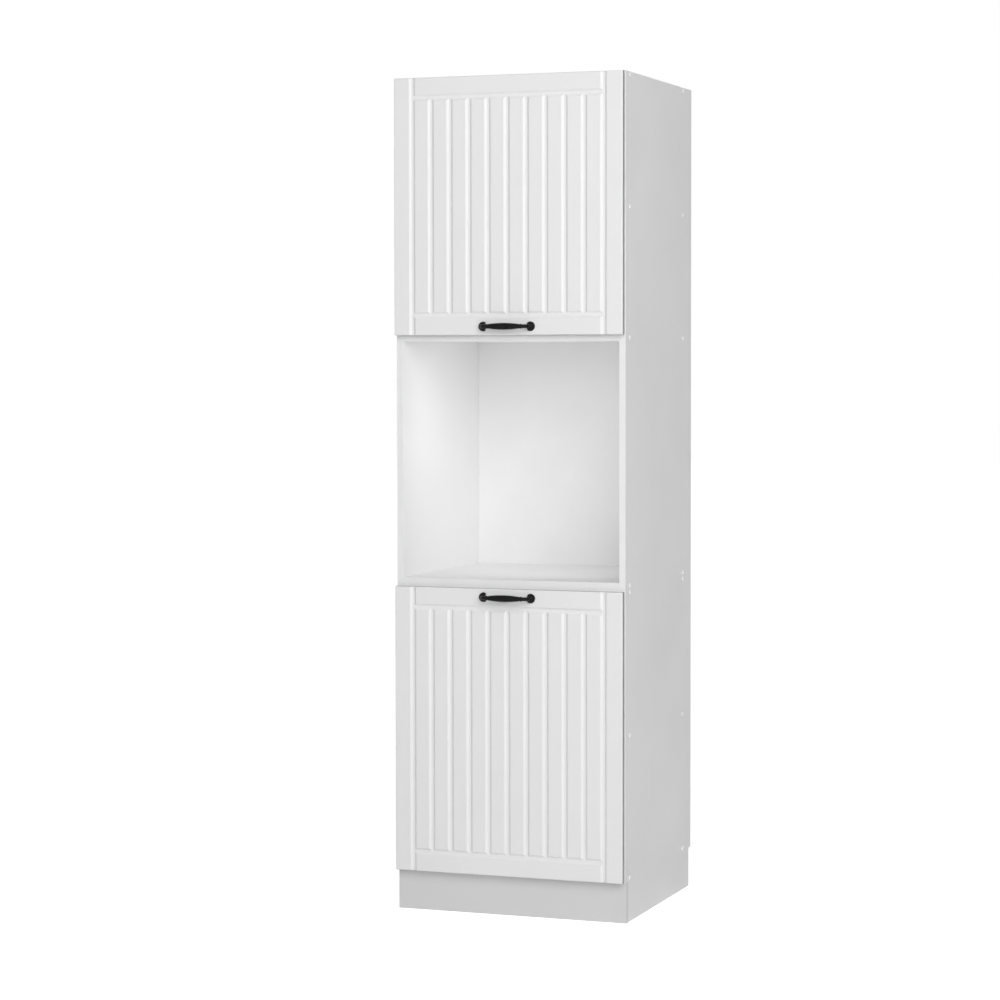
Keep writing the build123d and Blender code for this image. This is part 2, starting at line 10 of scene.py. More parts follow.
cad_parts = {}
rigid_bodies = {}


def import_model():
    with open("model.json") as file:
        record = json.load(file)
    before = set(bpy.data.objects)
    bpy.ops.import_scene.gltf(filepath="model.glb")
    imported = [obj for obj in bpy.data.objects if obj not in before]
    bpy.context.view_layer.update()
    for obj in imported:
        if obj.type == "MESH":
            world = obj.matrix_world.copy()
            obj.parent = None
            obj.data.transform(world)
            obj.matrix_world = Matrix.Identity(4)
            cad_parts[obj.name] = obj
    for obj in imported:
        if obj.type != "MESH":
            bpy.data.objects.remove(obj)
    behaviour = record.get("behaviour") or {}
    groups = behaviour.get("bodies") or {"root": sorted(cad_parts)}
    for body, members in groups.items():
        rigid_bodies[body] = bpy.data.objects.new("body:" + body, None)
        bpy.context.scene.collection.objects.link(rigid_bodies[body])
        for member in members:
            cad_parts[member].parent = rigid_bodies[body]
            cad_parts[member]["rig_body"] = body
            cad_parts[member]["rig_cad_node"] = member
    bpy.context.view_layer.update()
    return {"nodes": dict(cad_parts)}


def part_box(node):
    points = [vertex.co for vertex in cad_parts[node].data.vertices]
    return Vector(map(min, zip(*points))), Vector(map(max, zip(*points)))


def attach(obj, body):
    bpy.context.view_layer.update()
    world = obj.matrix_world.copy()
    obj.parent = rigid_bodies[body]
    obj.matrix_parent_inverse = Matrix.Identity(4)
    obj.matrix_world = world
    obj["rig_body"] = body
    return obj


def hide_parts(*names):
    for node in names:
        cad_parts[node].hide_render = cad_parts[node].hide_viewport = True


bl_info = {
    "name": "Oven housing cabinet",
    "version": (1, 0, 0),
    "blender": (4, 5, 0),
    "location": "View3D > Sidebar > Cabinet",
    "description": "Dresses the packed oven housing cabinet with its finishes and finer pieces",
    "category": "Object",
}

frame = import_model()

MM = 0.001

# Front planes of the boards and of the doors, in metres
cabinet_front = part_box("upper_side_right")[0].y
door_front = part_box("upper_door")[0].y

BOARDS = (
    "lower_side_left",
    "lower_side_right",
    "upper_side_left",
    "upper_side_right",
    "lower_bottom_panel",
    "lower_shelf",
    "lower_top_panel",
    "oven_shelf",
    "niche_top_panel",
    "upper_shelf",
    "top_panel",
    "plinth_board",
)
BACKS = ("lower_back_panel", "upper_back_panel")
ROOMS = ("lower", "upper")

# Edges: the shortest that is eased, and the lightest easing
SHORTEST_ARRIS = 10 * MM
SHORTEST_STEEL_ARRIS = 0.4 * MM
LIGHT_ARRIS = 0.2 * MM

# Which faces of a board are cut, banded or bored
ALONG_AXIS = 0.98
FACING = 0.7
SMALL_FACE = 40 * MM * MM
BORE_FACE = 5 * MM * MM
BOARD_SKIN = 1.5 * MM

# Milling of the doors
DOOR_ROUND = 3 * MM
DOOR_REAR_ARRIS = 0.5 * MM
# Behind the film's reach the narrow sides carry the grey of painted gap shade
FILM_WRAP = 8 * MM
RAIL_WIDTH = 50 * MM
SLAT_PITCH = 50 * MM
SLATS = 10
GROOVE_HALF_WIDTH = 8 * MM
GROOVE_HALF_FLOOR = 3 * MM
GROOVE_DEPTH = 4 * MM
ON_LINE = 0.1 * MM
SAME_PLACE = 0.01 * MM
NEAR_GROOVE = 10 * MM
NEAR_LAST_GROOVE = 20 * MM

# Bores in the rear of the doors
HANDLE_CENTRES = 128 * MM
HANDLE_BORE = (2.1 * MM, 20 * MM)
CUP_X = -278 * MM
CUP_SEAT = (17.65 * MM, 12 * MM)
PILOT_BORE = (1.85 * MM, 12.5 * MM)
PILOT_FROM_CUP = 6 * MM
PILOT_SIDES = (-24 * MM, 24 * MM)

# Screws with a cross recess, and the blade that cuts it, in parts of the head's radius
DRIVEN = (
    *(f"{room}_{kind}_screws" for room in ROOMS for kind in ("cup", "plate", "arm", "handle")),
    "carcass_connectors",
    "plinth_bracket_screws",
    "wall_bracket_screws",
)
BLADE_LENGTH = 1.25
BLADE_WIDTH = 0.22
BLADE_TAPER = (0.55, 0.8, 1.0)

# Cover caps: the rim's share of the height, the dome's stations in parts of the radius and how full
# the dome is between them, and the cells that tell caps apart
CAP_RADIUS = 6 * MM
CAP_PEG_RADIUS = 1.8 * MM
CAP_PEG_LENGTH = 1.9 * MM
CAP_RIM = 0.4
CAP_FULLNESS = 1.6
CAP_STATIONS = (0.98, 0.9, 0.75, 0.6, 0.45, 0.3, 0.15, 0.05)
CAP_CELL = 20 * MM

# Pressed steel parts with eased edges
ENDS = ("bottom", "top")
PRESSED = (
    *(f"{room}_hinge_{part}_{end}" for room in ROOMS for part in ("arm", "plate") for end in ENDS),
    "plinth_brackets",
    "wall_brackets",
)

# Handles
HANDLE_STANDOFF = 25 * MM
GRIP_RADIUS = 8.4 * MM
GRIP_END_RADIUS = 5 * MM
GRIP_HALF = 44 * MM
GRIP_STEPS = 12
COLLAR = ((0.0, 5.4), (0.4, 6.0), (1.0, 6.25), (2.0, 6.25), (2.6, 6.0), (3.0, 5.3), (3.2, 4.8))
NECK_BEND = 14 * MM
NECK_SHORT_OF_DOOR = 5 * MM
FOOT_RADIUS = 12.1 * MM
FOOT_X = 61.5 * MM
FOOT_CUT = 5.9 * MM
FOOT_IN_DOOR = 1.5 * MM
HANDLE_SCREW_RADIUS = 2.2 * MM
HANDLE_SCREW_DEPTH = 15 * MM

# Key lamp: its direction in degrees and its distance, from the cabinet's middle line at mid height
MID_HEIGHT = 1.1
KEY_BEARING = 30
KEY_RISE = 17
KEY_REACH = 6.5
KEY_AIM = (0.0, -0.2, MID_HEIGHT)
KEY_SIZE = 5.0
KEY_POWER = 273.0

# Niche lamp: it stands behind the doors' front plane, and its heights count from the niche's middle
NICHE_LAMP_X = 0.1
NICHE_LAMP_BEHIND = 0.03
NICHE_LAMP_UP = 0.03
NICHE_AIM = (-0.1, 0.27)
NICHE_AIM_UP = 0.1
NICHE_LAMP_SIZE = 0.24
NICHE_LAMP_POWER = 0.58

# Strength of the light from all sides, as it falls and as the camera sees it, and the floor's glow
WORLD_FILL = 0.272
WORLD_SEEN = 1.0
FLOOR_LIFT = 0.75
FLOOR_SIZE = 60.0

# Camera: place in metres, angles in degrees, sensor in millimetres, the rest in parts of the sensor
CAMERA_X = 2.40698
CAMERA_AHEAD = 6.57438
CAMERA_HEIGHT = 1.385
CAMERA_YAW = 20.3034
CAMERA_PITCH = -2.1628
CAMERA_ROLL = -0.0695
CAMERA_SENSOR = 36.0
CAMERA_FOCUS = 2.83938
CAMERA_SHIFT = -0.035


# Sizes and colours that a user would change


class CabinetSizes(bpy.types.PropertyGroup):
    arris: bpy.props.FloatProperty(
        name="Board arris",
        description="Radius of the eased edges of the boards",
        default=0.4 * MM,
        unit="LENGTH",
    )
    groove_round: bpy.props.FloatProperty(
        name="Groove rounding",
        description="Radius that the film leaves along the milled grooves",
        default=0.8 * MM,
        unit="LENGTH",
    )
    cast_grain: bpy.props.FloatProperty(
        name="Casting detail",
        description="Smallest form kept in the cast handles",
        default=0.6 * MM,
        unit="LENGTH",
    )
    light_level: bpy.props.FloatProperty(
        name="Light level",
        description="Strength of the studio lamps",
        default=1.0,
        min=0.0,
    )


class CabinetColours(bpy.types.PropertyGroup):
    board: bpy.props.FloatVectorProperty(
        name="Laminate",
        description="White of the laminated boards",
        subtype="COLOR",
        size=4,
        default=(0.88, 0.88, 0.88, 1.0),
    )
    film: bpy.props.FloatVectorProperty(
        name="Door film",
        description="White of the film on the milled doors",
        subtype="COLOR",
        size=4,
        default=(0.88, 0.88, 0.88, 1.0),
    )
    # Painted shade: a grey on the doors' narrow sides that stands in for the shadow in the gap beside
    # them
    door_gap_shade: bpy.props.FloatVectorProperty(
        name="Door edge",
        description="Grey of the narrow sides of the doors",
        subtype="COLOR",
        size=4,
        default=(0.27, 0.27, 0.27, 1.0),
    )
    handle: bpy.props.FloatVectorProperty(
        name="Handle",
        description="Black of the powder coat on the handles",
        subtype="COLOR",
        size=4,
        default=(0.004, 0.004, 0.0045, 1.0),
    )
    metal: bpy.props.FloatVectorProperty(
        name="Plated steel",
        description="Tone of the nickel on hinges, brackets and screws",
        subtype="COLOR",
        size=4,
        default=(0.64, 0.63, 0.61, 1.0),
    )


# Choosing, copying and finishing


def deselect_all():
    for thing in bpy.context.selected_objects:
        thing.select_set(False)


def make_active(piece):
    deselect_all()
    piece.select_set(True)
    bpy.context.view_layer.objects.active = piece


def new_piece(name):
    """The primitive just added, under its own name."""
    piece = bpy.context.object
    piece.name = name
    return piece


def copy_of_node(node, name):
    """A merged copy of a CAD node, free of the frame, to be shaped further."""
    make_active(frame["nodes"][node])
    bpy.ops.object.duplicate()
    piece = bpy.context.object
    piece.name = name
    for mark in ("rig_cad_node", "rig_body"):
        del piece[mark]
    piece.parent = None
    bpy.ops.mesh.customdata_custom_splitnormals_clear()
    bpy.ops.object.mode_set(mode="EDIT")
    bpy.ops.mesh.select_all(action="SELECT")
    bpy.ops.mesh.remove_doubles(threshold=0.002 * MM)
    bpy.ops.mesh.dissolve_limited(angle_limit=math.radians(0.5))
    bpy.ops.object.mode_set(mode="OBJECT")
    return piece


def select_edges(piece, wanted):
    """In edit mode, selects the edges for which wanted(edge) holds. Returns how many."""
    bpy.ops.mesh.select_mode(type="EDGE")
    bpy.ops.mesh.select_all(action="DESELECT")
    mesh = bmesh.from_edit_mesh(piece.data)
    chosen = [edge for edge in mesh.edges if wanted(edge)]
    for edge in chosen:
        edge.select_set(True)
    bmesh.update_edit_mesh(piece.data)
    return len(chosen)


def select_points(piece, wanted):
    """In edit mode, selects the vertices whose place makes wanted(place) true."""
    bpy.ops.mesh.select_mode(type="VERT")
    bpy.ops.mesh.select_all(action="DESELECT")
    mesh = bmesh.from_edit_mesh(piece.data)
    for vertex in mesh.verts:
        vertex.select_set(wanted(vertex.co))
    mesh.select_flush_mode()
    bmesh.update_edit_mesh(piece.data)


def is_arris(edge, shortest, sharpness=30):
    """A long edge where two faces meet at more than sharpness degrees."""
    if len(edge.link_faces) != 2 or edge.calc_length() < shortest:
        return False
    return edge.calc_face_angle() > math.radians(sharpness)


def round_arrises(piece, radius, shortest, segments):
    make_active(piece)
    bpy.ops.object.mode_set(mode="EDIT")
    if select_edges(piece, lambda edge: is_arris(edge, shortest)):
        bpy.ops.mesh.bevel(
            offset=radius, offset_type="OFFSET", segments=segments, affect="EDGES", clamp_overlap=False
        )
    bpy.ops.object.mode_set(mode="OBJECT")


def apply_modifier(piece, kind, **settings):
    make_active(piece)
    modifier = piece.modifiers.new(kind.title(), kind)
    for key, value in settings.items():
        setattr(modifier, key, value)
    bpy.ops.object.modifier_apply(modifier=modifier.name)


def smooth(piece, angle=30):
    make_active(piece)
    bpy.ops.object.shade_smooth_by_angle(angle=math.radians(angle))


def smooth_arrises(piece, angle=30):
    """Smooth shading that keeps the large faces flat and bends only the narrow ones."""
    smooth(piece, angle)
    apply_modifier(piece, "WEIGHTED_NORMAL", keep_sharp=True, weight=80)


def settle(piece):
    """Moves the object's place into its mesh."""
    make_active(piece)
    bpy.ops.object.transform_apply(location=True, rotation=True, scale=True)


def stand_for(piece, node):
    """Makes the piece ride on the node's body, and hides the node in its stead."""
    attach(piece, frame["nodes"][node]["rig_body"])
    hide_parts(node)


def finish_faces(piece, names, choose=lambda face: 0):
    """Gives the piece these finishes, and each face the one whose place choose(face) returns."""
    piece.data.materials.clear()
    for name in names:
        piece.data.materials.append(finishes[name])
    for face in piece.data.polygons:
        face.material_index = choose(face)


# Effects that several finishes share


def effect_group(name, inputs, outputs):
    """A node group with these sockets, and its input and output nodes."""
    group = bpy.data.node_groups.new(name, "ShaderNodeTree")
    for label, kind, value in inputs:
        socket = group.interface.new_socket(name=label, in_out="INPUT", socket_type="NodeSocket" + kind)
        if value is not None:
            socket.default_value = value
    for label, kind in outputs:
        group.interface.new_socket(name=label, in_out="OUTPUT", socket_type="NodeSocket" + kind)
    return group, group.nodes.new("NodeGroupInput"), group.nodes.new("NodeGroupOutput")


def math_node(tree, operation, first, second):
    """A sum, product or the like of two values, each a number or another node's output."""
    node = tree.nodes.new("ShaderNodeMath")
    node.operation = operation
    for socket, value in zip(node.inputs, (first, second)):
        if isinstance(value, (int, float)):
            socket.default_value = value
        else:
            tree.links.new(value, socket)
    return node.outputs[0]


def blend_node(tree, share, first, second):
    """The colour between two others."""
    node = tree.nodes.new("ShaderNodeMix")
    node.data_type = "RGBA"
    tree.links.new(share, node.inputs["Factor"])
    first_colour, second_colour = node.inputs[6:8]
    tree.links.new(first, first_colour)
    tree.links.new(second, second_colour)
    return node.outputs[2]


def noise_node(tree, coordinates, scale, detail):
    node = tree.nodes.new("ShaderNodeTexNoise")
    tree.links.new(coordinates, node.inputs["Vector"])
    tree.links.new(scale, node.inputs["Scale"])
    node.inputs["Detail"].default_value = detail
    return node.outputs["Fac"]


def tone_drift_group():
    """Soft drift between two tones and two roughnesses, with patches of a given size."""
    group, given, result = effect_group(
        "Tone drift",
        (
            ("Coordinates", "Vector", None),
            ("Patch Size", "Float", 0.2),
            ("Tone A", "Color", (0.8, 0.8, 0.8, 1.0)),
            ("Tone B", "Color", (0.75, 0.75, 0.75, 1.0)),
            ("Roughness A", "Float", 0.4),
            ("Roughness B", "Float", 0.5),
        ),
        (("Colour", "Color"), ("Roughness", "Float")),
    )
    scale = math_node(group, "DIVIDE", 1.0, given.outputs["Patch Size"])
    patches = noise_node(group, given.outputs["Coordinates"], scale, 3.0)
    spread = group.nodes.new("ShaderNodeMapRange")
    spread.inputs["From Min"].default_value = 0.3
    spread.inputs["From Max"].default_value = 0.7
    group.links.new(patches, spread.inputs["Value"])
    colour = blend_node(group, spread.outputs[0], given.outputs["Tone A"], given.outputs["Tone B"])
    rough = group.nodes.new("ShaderNodeMapRange")
    group.links.new(spread.outputs[0], rough.inputs["Value"])
    group.links.new(given.outputs["Roughness A"], rough.inputs["To Min"])
    group.links.new(given.outputs["Roughness B"], rough.inputs["To Max"])
    group.links.new(colour, result.inputs["Colour"])
    group.links.new(rough.outputs[0], result.inputs["Roughness"])
    return group


def fine_relief_group():
    """Height of a fine surface grain: a fine and a broader noise in equal shares."""
    group, given, result = effect_group(
        "Fine relief",
        (
            ("Coordinates", "Vector", None),
            ("Grain Size", "Float", 0.001),
        ),
        (("Height", "Float"),),
    )
    fine_scale = math_node(group, "DIVIDE", 1.0, given.outputs["Grain Size"])
    fine = noise_node(group, given.outputs["Coordinates"], fine_scale, 2.0)
    broad_scale = math_node(group, "DIVIDE", 0.3, given.outputs["Grain Size"])
    broad = noise_node(group, given.outputs["Coordinates"], broad_scale, 1.0)
    half_broad = math_node(group, "MULTIPLY", broad, 0.5)
    half_fine = math_node(group, "MULTIPLY", fine, 0.5)
    height = math_node(group, "ADD", half_broad, half_fine)
    group.links.new(height, result.inputs["Height"])
    return group


def chip_group():
    """Chips of wood pressed together: cells of many tones."""
    group, given, result = effect_group(
        "Pressed chips",
        (
            ("Coordinates", "Vector", None),
            ("Chip Size", "Float", 0.003),
            ("Pale", "Color", (0.62, 0.47, 0.30, 1.0)),
            ("Dark", "Color", (0.30, 0.20, 0.11, 1.0)),
        ),
        (("Colour", "Color"), ("Height", "Float")),
    )
    scale = math_node(group, "DIVIDE", 1.0, given.outputs["Chip Size"])
    cells = group.nodes.new("ShaderNodeTexVoronoi")
    group.links.new(given.outputs["Coordinates"], cells.inputs["Vector"])
    group.links.new(scale, cells.inputs["Scale"])
    tone = group.nodes.new("ShaderNodeSeparateColor")
    group.links.new(cells.outputs["Color"], tone.inputs[0])
    colour = blend_node(group, tone.outputs[0], given.outputs["Pale"], given.outputs["Dark"])
    group.links.new(colour, result.inputs["Colour"])
    group.links.new(cells.outputs["Distance"], result.inputs["Height"])
    return group


# Finishes


class Finish:
    """A node material under construction: its tree, its shader and its object coordinates."""

    def __init__(self, name, **constants):
        self.material = bpy.data.materials.new(name)
        self.material.use_nodes = True
        self.tree = self.material.node_tree
        self.shader = self.tree.nodes["Principled BSDF"]
        for socket, value in constants.items():
            self.shader.inputs[socket.replace("_", " ")].default_value = value
        self.place = self.tree.nodes.new("ShaderNodeTexCoord").outputs["Object"]

    def effect(self, group, **values):
        node = self.tree.nodes.new("ShaderNodeGroup")
        node.node_tree = group
        self.tree.links.new(self.place, node.inputs["Coordinates"])
        for socket, value in values.items():
            node.inputs[socket.replace("_", " ")].default_value = value
        return node

    def feed(self, output, socket):
        self.tree.links.new(output, self.shader.inputs[socket])

    def bump(self, height, depth):
        node = self.tree.nodes.new("ShaderNodeBump")
        node.inputs["Distance"].default_value = depth
        self.tree.links.new(height, node.inputs["Height"])
        self.feed(node.outputs[0], "Normal")


def shaded(colour, factor):
    """The colour made darker or lighter by a factor."""
    return (colour[0] * factor, colour[1] * factor, colour[2] * factor, 1.0)


def coated_finish(name, colour, effects, drift, patch, roughness, grain, depth, **constants):
    """A coated surface: a faint drift of tone and gloss, and a fine relief."""
    finish = Finish(name, **constants)
    tone = finish.effect(
        effects["tone"],
        Patch_Size=patch,
        Tone_A=shaded(colour, 1.0),
        Tone_B=shaded(colour, drift),
        Roughness_A=roughness[0],
        Roughness_B=roughness[1],
    )
    finish.feed(tone.outputs["Colour"], "Base Color")
    finish.feed(tone.outputs["Roughness"], "Roughness")
    relief = finish.effect(effects["relief"], Grain_Size=grain)
    finish.bump(relief.outputs["Height"], depth)
    return finish.material


def make_finishes():
    """All the materials, by their plain names."""
    colours = bpy.context.scene.cabinet_colours
    effects = {"tone": tone_drift_group(), "relief": fine_relief_group(), "chips": chip_group()}
    return {
        "laminate": coated_finish(
            "White laminate",
            colours.board,
            effects,
            drift=0.975,
            patch=0.25,
            roughness=(0.42, 0.52),
            grain=0.9 * MM,
            depth=0.05 * MM,
            Specular_IOR_Level=0.3,
        ),
        "edge_band": coated_finish(
            "White edge band",
            shaded(colours.board, 1.02),
            effects,
            drift=0.97,
            patch=0.06,
            roughness=(0.32, 0.42),
            grain=0.5 * MM,
            depth=0.01 * MM,
        ),
        # Painted shade: the laminate darkened to stand in for the shade under the doors' overhang
        "plinth": coated_finish(
            "Plinth laminate with painted shade",
            shaded(colours.board, 0.82),
            effects,
            drift=0.97,
            patch=0.25,
            roughness=(0.42, 0.52),
            grain=0.9 * MM,
            depth=0.05 * MM,
            Specular_IOR_Level=0.3,
        ),
        "film": coated_finish(
            "Satin white film",
            colours.film,
            effects,
            drift=0.985,
            patch=0.18,
            roughness=(0.34, 0.42),
            grain=1.4 * MM,
            depth=0.05 * MM,
            Specular_IOR_Level=0.35,
        ),
        # Painted shade: the grey of the shadow in the gap between door and carcass, put on the doors'
        # narrow sides
        "door_gap_shade": coated_finish(
            "Door edge painted gap shade",
            colours.door_gap_shade,
            effects,
            drift=0.9,
            patch=0.05,
            roughness=(0.45, 0.55),
            grain=0.8 * MM,
            depth=0.02 * MM,
        ),
        # Darker than the boards: partly the hardboard's own paint, partly painted shade for the back wall
        # of the niche
        "back_paint_and_shade": coated_finish(
            "Painted back board",
            shaded(colours.board, 0.9),
            effects,
            drift=0.97,
            patch=0.12,
            roughness=(0.5, 0.6),
            grain=1.2 * MM,
            depth=0.03 * MM,
        ),
        "powder_coat": coated_finish(
            "Black powder coat",
            colours.handle,
            effects,
            drift=1.6,
            patch=0.02,
            roughness=(0.26, 0.34),
            grain=0.35 * MM,
            depth=0.01 * MM,
            Specular_IOR_Level=0.12,
        ),
        "nickel": coated_finish(
            "Nickel plated steel",
            colours.metal,
            effects,
            drift=0.9,
            patch=0.012,
            roughness=(0.24, 0.36),
            grain=0.5 * MM,
            depth=0.01 * MM,
            Metallic=1.0,
        ),
        # Whiter than the film: the caps' own white plastic and a painted highlight that makes the domes
        # stand out
        "cap_plastic_and_highlight": coated_finish(
            "White cap plastic with painted highlight",
            shaded(colours.film, 1.11),
            effects,
            drift=0.98,
            patch=0.02,
            roughness=(0.18, 0.26),
            grain=0.4 * MM,
            depth=0.01 * MM,
            Specular_IOR_Level=0.8,
            Coat_Weight=1.0,
        ),
        "bumper_gel": coated_finish(
            "Clear bumper",
            (0.92, 0.94, 0.95, 1.0),
            effects,
            drift=0.97,
            patch=0.004,
            roughness=(0.12, 0.22),
            grain=0.6 * MM,
            depth=0.01 * MM,
            Transmission_Weight=0.85,
            IOR=1.49,
        ),
        "chipboard": core_finish(
            "Chipboard core",
            effects,
            chip=2.6 * MM,
            pale=(0.60, 0.46, 0.30, 1.0),
            dark=(0.34, 0.23, 0.13, 1.0),
        ),
        "fibreboard": core_finish(
            "Fibreboard core",
            effects,
            chip=0.5 * MM,
            pale=(0.55, 0.41, 0.26, 1.0),
            dark=(0.44, 0.32, 0.20, 1.0),
        ),
        "raw_back": core_finish(
            "Raw back of the hardboard",
            effects,
            chip=0.9 * MM,
            pale=(0.60, 0.48, 0.34, 1.0),
            dark=(0.48, 0.37, 0.25, 1.0),
        ),
    }


def core_finish(name, effects, chip, pale, dark):
    """Cut or uncoated board, which shows its chips or fibres."""
    finish = Finish(name)
    chips = finish.effect(effects["chips"], Chip_Size=chip, Pale=pale, Dark=dark)
    finish.feed(chips.outputs["Colour"], "Base Color")
    tone = finish.effect(effects["tone"], Patch_Size=0.03, Roughness_A=0.75, Roughness_B=0.9)
    finish.feed(tone.outputs["Roughness"], "Roughness")
    finish.bump(chips.outputs["Height"], 0.1 * MM)
    return finish.material


# Filled by the first operator and read by all the others
finishes = {}


# Operators: one for each group of like pieces


class MakeFinishes(bpy.types.Operator):
    """Makes the materials of the cabinet"""

    bl_idname = "cabinet.make_finishes"
    bl_label = "Make finishes"

    def execute(self, context):
        finishes.update(make_finishes())
        return {"FINISHED"}


class EaseBoards(bpy.types.Operator):
    """Boards with eased arrises, banded front edges and bare rear edges"""

    bl_idname = "cabinet.ease_boards"
    bl_label = "Ease boards"

    def execute(self, context):
        sizes = context.scene.cabinet_sizes
        for node in BOARDS:
            board = copy_of_node(node, node.replace("panel", "board") + "_eased")
            round_arrises(board, sizes.arris, SHORTEST_ARRIS, segments=2)
            smooth_arrises(board)
            low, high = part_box(node)
            # The plinth's darker laminate is painted shade of the doors' overhang
            if node == "plinth_board":
                finish_faces(board, ("plinth",))
            else:
                finish_faces(
                    board,
                    ("laminate", "edge_band", "chipboard"),
                    lambda face: board_face(face, low, high),
                )
            stand_for(board, node)
        return {"FINISHED"}


def board_face(face, low, high):
    """0 for a laminated face, 1 for a banded edge, 2 for a bare edge or the wall of a bore."""
    normal = face.normal
    steepest = max(abs(normal.x), abs(normal.y), abs(normal.z))
    if steepest < ALONG_AXIS and face.area < SMALL_FACE:
        return 2 if face.area < BORE_FACE and inside(face.center, low, high) else 0
    if normal.y < -FACING:
        return 1
    if normal.y > FACING:
        return 2
    return 0


def inside(point, low, high):
    """Whether the point lies under the skin of the board, as a bore's wall does."""
    return all(a + BOARD_SKIN < p < b - BOARD_SKIN for a, p, b in zip(low, point, high))


class DressBacks(bpy.types.Operator):
    """Back boards, painted towards the rooms with that paint darkened by painted shade, and bare towards
    the wall
    """

    bl_idname = "cabinet.dress_backs"
    bl_label = "Dress back boards"

    def execute(self, context):
        for node in BACKS:
            back = copy_of_node(node, node.replace("panel", "sheet"))
            round_arrises(back, LIGHT_ARRIS, SHORTEST_ARRIS, segments=1)
            smooth_arrises(back)
            finish_faces(
                back,
                ("back_paint_and_shade", "raw_back"),
                lambda face: 0 if face.normal.y < -0.5 else 1,
            )
            stand_for(back, node)
        return {"FINISHED"}


class MillDoors(bpy.types.Operator):
    """Doors with the film drawn softly over the milled grooves"""

    bl_idname = "cabinet.mill_doors"
    bl_label = "Mill doors"

    def execute(self, context):
        sizes = context.scene.cabinet_sizes
        for room in ROOMS:
            node = f"{room}_door"
            low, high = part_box(node)
            door = door_blank(f"{room}_door_milled", low, high)
            mill_grooves(door, low, high, sizes.groove_round)
            bore_door(door, room)
            smooth_arrises(door, 35)
            # The narrow sides take the grey of painted gap shade
            finish_faces(
                door,
                ("film", "door_gap_shade", "fibreboard"),
                lambda face: door_face(face, low, high),
            )
            stand_for(door, node)
        return {"FINISHED"}


def door_blank(name, low, high):
    """A board of the door's size, its front arrises well rounded."""
    bpy.ops.mesh.primitive_cube_add(size=1.0, location=(low + high) / 2, scale=high - low)
    blank = new_piece(name)
    settle(blank)
    bpy.ops.object.mode_set(mode="EDIT")
    select_edges(blank, lambda edge: all(v.co.y < low.y + ON_LINE for v in edge.verts))
    bpy.ops.mesh.bevel(offset=DOOR_ROUND, offset_type="OFFSET", segments=6, affect="EDGES")
    select_edges(blank, lambda edge: all(v.co.y > high.y - ON_LINE for v in edge.verts))
    bpy.ops.mesh.bevel(offset=DOOR_REAR_ARRIS, offset_type="OFFSET", segments=2, affect="EDGES")
    bpy.ops.object.mode_set(mode="OBJECT")
    return blank


def mill_grooves(door, low, high, rounding):
    """Eleven upright grooves and two level ones, with sloping walls and softened edges."""
    rails = (low.z + RAIL_WIDTH, high.z - RAIL_WIDTH)
    columns = [(index - SLATS / 2) * SLAT_PITCH for index in range(SLATS + 1)]
    lines = (-GROOVE_HALF_WIDTH, -GROOVE_HALF_FLOOR, GROOVE_HALF_FLOOR, GROOVE_HALF_WIDTH)
    bpy.ops.object.mode_set(mode="EDIT")
    for line in lines:
        for x in columns:
            cut_through(Vector((x + line, 0.0, 0.0)), (1.0, 0.0, 0.0))
        for z in rails:
            cut_through(Vector((0.0, 0.0, z + line)), (0.0, 0.0, 1.0))
    skin = low.y + DOOR_ROUND + ON_LINE
    floor = GROOVE_HALF_FLOOR + ON_LINE

    def on_floor(point):
        if point.y > skin:
            return False
        level = any(abs(point.z - z) < floor for z in rails) and abs(point.x) < columns[-1] + floor
        outer = abs(abs(point.x) - columns[-1]) < floor
        inner = any(abs(point.x - x) < floor for x in columns) and rails[0] < point.z < rails[1]
        return level or outer or inner

    select_points(door, on_floor)
    bpy.ops.transform.translate(value=(0.0, GROOVE_DEPTH, 0.0))
    select_points(door, lambda point: point.y < skin + GROOVE_DEPTH and on_mitre(point, columns, rails))
    bpy.ops.mesh.vert_connect()
    groove_skin = skin + GROOVE_DEPTH

    def on_groove_line(edge):
        a, b = (v.co for v in edge.verts)
        if max(a.y, b.y) > groove_skin or max(abs(a.x), abs(b.x)) > columns[-1] + NEAR_LAST_GROOVE:
            return False
        if not is_arris(edge, 0.0, 3):
            return False
        if abs(a.x - b.x) < SAME_PLACE:
            return True
        middle = (a.z + b.z) / 2
        return any(abs(middle - z) < NEAR_GROOVE for z in rails)

    select_edges(door, on_groove_line)
    bpy.ops.mesh.bevel(
        offset=rounding, offset_type="OFFSET", segments=3, affect="EDGES", clamp_overlap=False
    )
    bpy.ops.mesh.select_all(action="SELECT")
    bpy.ops.mesh.remove_doubles(threshold=SAME_PLACE)
    bpy.ops.object.mode_set(mode="OBJECT")


def cut_through(point, normal):
    bpy.ops.mesh.select_all(action="SELECT")
    bpy.ops.mesh.bisect(plane_co=point, plane_no=normal)


def on_mitre(point, columns, rails):
    """Whether an edge between a slat's corner and the floor's corner starts or ends here."""
    across = min(abs(point.x - x) for x in columns)
    along = min(abs(point.z - z) for z in rails)
    steps = (GROOVE_HALF_WIDTH, GROOVE_HALF_FLOOR)
    return any(abs(across - step) < ON_LINE and abs(along - step) < ON_LINE for step in steps)


